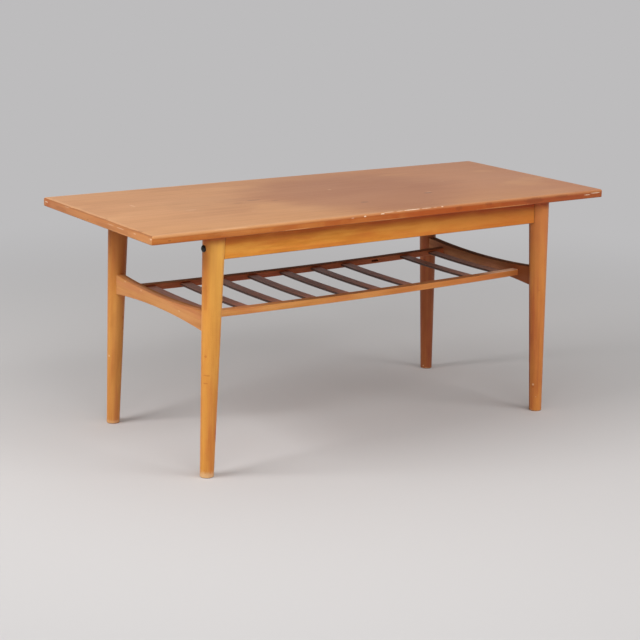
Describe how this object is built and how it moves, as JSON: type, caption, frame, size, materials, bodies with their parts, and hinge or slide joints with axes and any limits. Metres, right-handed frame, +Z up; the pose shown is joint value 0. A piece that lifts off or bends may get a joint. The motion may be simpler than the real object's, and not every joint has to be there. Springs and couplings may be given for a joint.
{
  "type": "coffee table",
  "caption": "Long rectangular wooden coffee table on splayed round tapered legs, with aprons along the sides and a slatted shelf between curved end stretchers.",
  "frame": {"origin": "on the floor, under the middle of the top", "axes": "+X along the table to its right end, +Y from front to back, +Z up"},
  "size_m": [1.2, 0.5, 0.53],
  "materials": {
    "top_veneer": "teak veneer, oiled, satin",
    "backing_veneer": "plain backing veneer, matt",
    "core_board": "particle core board, raw",
    "top_lipping": "solid teak, oiled, satin",
    "leg_wood": "solid beech, turned, stained honey, lacquered, satin",
    "apron_wood": "solid beech, stained honey, lacquered, satin",
    "stretcher_wood": "solid beech, stained honey, lacquered, satin",
    "rail_wood": "solid beech, stained honey, lacquered, satin",
    "slat_wood": "solid teak, dark, thinly oiled, satin",
    "dowel_wood": "beech, raw",
    "bolt_metal": "blackened steel, satin",
    "fixing_metal": "zinc plated steel"
  },
  "bodies": {
    "root": {"top_face_veneer": "top_veneer", "top_back_veneer": "backing_veneer", "top_core_board": "core_board", "front_lipping": "top_lipping", "back_lipping": "top_lipping", "left_lipping": "top_lipping", "right_lipping": "top_lipping", "front_left_leg": "leg_wood", "front_right_leg": "leg_wood", "back_left_leg": "leg_wood", "back_right_leg": "leg_wood", "front_apron": "apron_wood", "back_apron": "apron_wood", "left_end_stretcher": "stretcher_wood", "right_end_stretcher": "stretcher_wood", "front_shelf_rail": "rail_wood", "back_shelf_rail": "rail_wood", "shelf_slat_1": "slat_wood", "shelf_slat_2": "slat_wood", "shelf_slat_3": "slat_wood", "shelf_slat_4": "slat_wood", "shelf_slat_5": "slat_wood", "shelf_slat_6": "slat_wood", "shelf_slat_7": "slat_wood", "shelf_slat_9": "slat_wood", "shelf_slat_10": "slat_wood", "leg_dowels": "dowel_wood", "rail_dowels": "dowel_wood", "leg_bolts": "bolt_metal", "barrel_nuts": "fixing_metal", "top_screws": "fixing_metal"}
  },
  "joints": []
}
